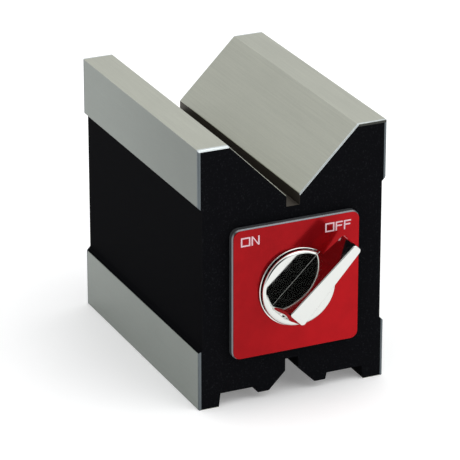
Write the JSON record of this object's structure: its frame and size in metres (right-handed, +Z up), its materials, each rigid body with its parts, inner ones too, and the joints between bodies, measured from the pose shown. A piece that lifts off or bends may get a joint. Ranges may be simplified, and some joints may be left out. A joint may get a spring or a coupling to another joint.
{
  "type": "magnetic v-block",
  "caption": "Switchable magnetic V-block: two soft-iron pole halves with a 90 degree V, side pads and a grooved base, around a magnet turned by a chrome lever knob on a red dial.",
  "frame": {"origin": "on the standing surface, under the middle of the whole object's box", "axes": "+Z up, -Y towards the front with the dial and knob, +X to the right seen from the front"},
  "size_m": [0.07, 0.1194, 0.095],
  "materials": {
    "block_iron": "fine-textured black paint, with ground bare steel on the top, V, side pads and feet",
    "spacer_brass": "sawn and ground",
    "cover_metal": "die-cast, dark grey, fine blasted",
    "dial_red": "printed red, semi-gloss",
    "black_screw": "black oxide",
    "bush_bronze": "turned",
    "turned_brass": "turned",
    "seal_rubber": "black nitrile",
    "bright_steel": "ground",
    "chrome_knob": "polished chrome plate",
    "ferrite": "ground ferrite",
    "soft_iron": "turned soft iron"
  },
  "bodies": {
    "block": {"left_pole": "block_iron", "right_pole": "block_iron", "upper_spacer": "spacer_brass", "lower_spacer": "spacer_brass", "front_cover": "cover_metal", "dial_label": "dial_red", "rear_cover": "cover_metal", "front_cover_screw_1": "black_screw", "front_cover_screw_2": "black_screw", "front_cover_screw_3": "black_screw", "front_cover_screw_4": "black_screw", "rear_cover_screw_1": "black_screw", "rear_cover_screw_2": "black_screw", "rear_cover_screw_3": "black_screw", "rear_cover_screw_4": "black_screw", "front_bush": "bush_bronze", "rear_bush": "bush_bronze", "front_thrust_washer": "turned_brass", "rear_thrust_washer": "turned_brass", "shaft_seal_ring": "seal_rubber", "stop_pin": "bright_steel", "detent_spring": "bright_steel"},
    "rotor": {"knob": "chrome_knob", "knob_grub_screw": "black_screw", "knob_shaft": "bright_steel", "rear_journal": "bright_steel", "front_end_cap": "turned_brass", "rear_end_cap": "turned_brass", "front_cap_screw_1": "black_screw", "front_cap_screw_2": "black_screw", "rear_cap_screw_1": "black_screw", "rear_cap_screw_2": "black_screw", "rotor_magnet": "ferrite", "upper_pole_shoe": "soft_iron", "lower_pole_shoe": "soft_iron"},
    "detent_ball": {"detent_ball": "bright_steel"}
  },
  "joints": [
    {"name": "knob_turn", "type": "hinge", "parent": "block", "child": "rotor", "pos_m": [0, -0.0428, 0.0414], "axis": [0, -1, 0], "range_deg": [0, 90]},
    {"name": "detent_click", "type": "slide", "parent": "block", "child": "detent_ball", "axis": [0, -1, 0], "range_m": [0, 0.0004], "stiffness_N_per_m": 100, "springref_m": -0.004, "deforming": ["detent_spring"]}
  ]
}
